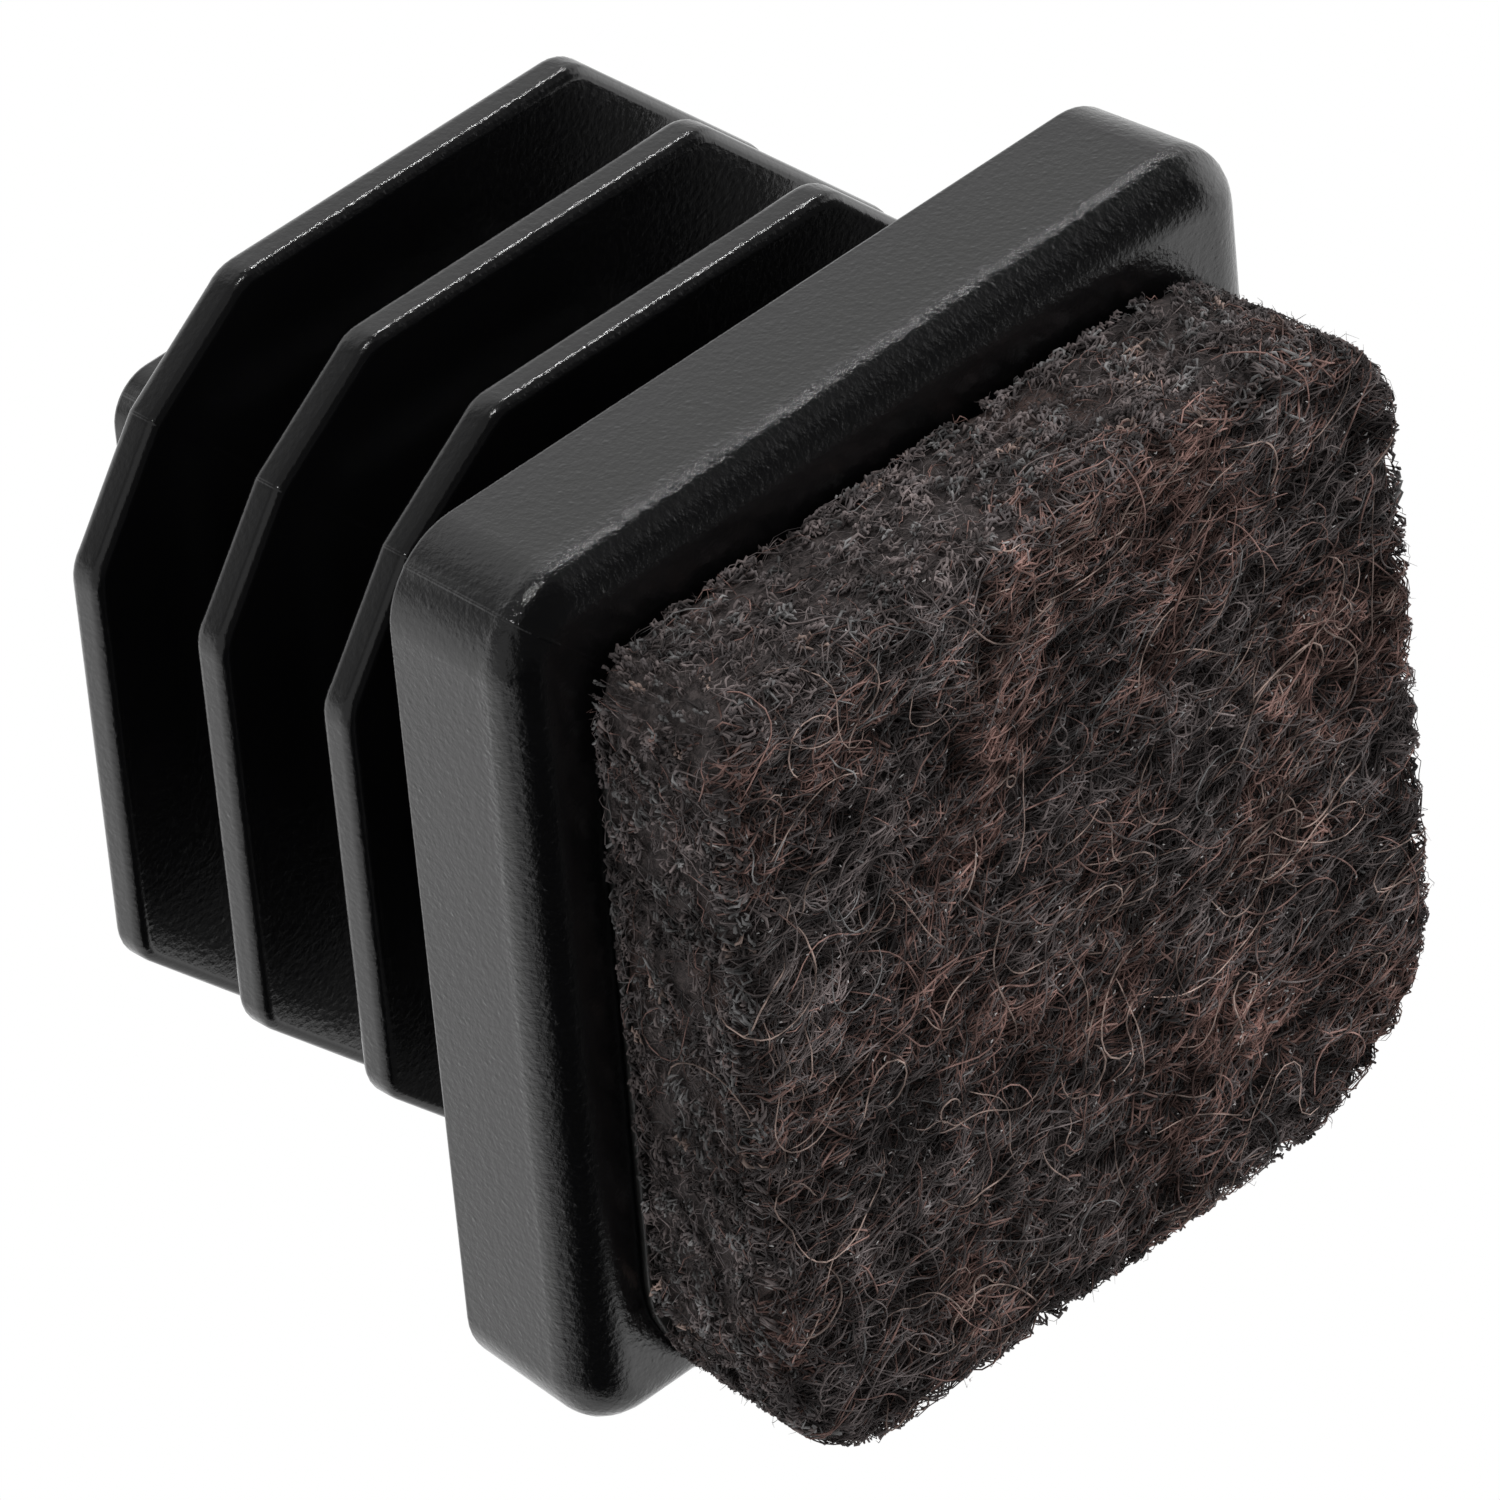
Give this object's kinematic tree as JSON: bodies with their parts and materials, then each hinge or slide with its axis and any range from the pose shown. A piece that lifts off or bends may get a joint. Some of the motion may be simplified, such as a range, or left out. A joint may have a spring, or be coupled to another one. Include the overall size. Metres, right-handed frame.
{
  "type": "chair leg cap",
  "caption": "Square lamella plug that closes the foot of a square tube leg, with a flat head and a round-cornered felt pad stuck under it to slide on the floor.",
  "frame": {"origin": "on the plug's axis, in the plane of the felt's face that stands on the floor", "axes": "+Z along the plug's axis, up into the leg; +X and +Y across the head, square to its sides"},
  "size_m": [0.02, 0.02, 0.0214],
  "materials": {
    "black_plastic": "fine matte mould texture",
    "adhesive": "thin translucent film",
    "felt": "needled fibre felt, fibres lying loose on the face"
  },
  "bodies": {
    "root": {"plug": "black_plastic", "adhesive_film": "adhesive", "felt_pad": "felt"}
  },
  "joints": []
}
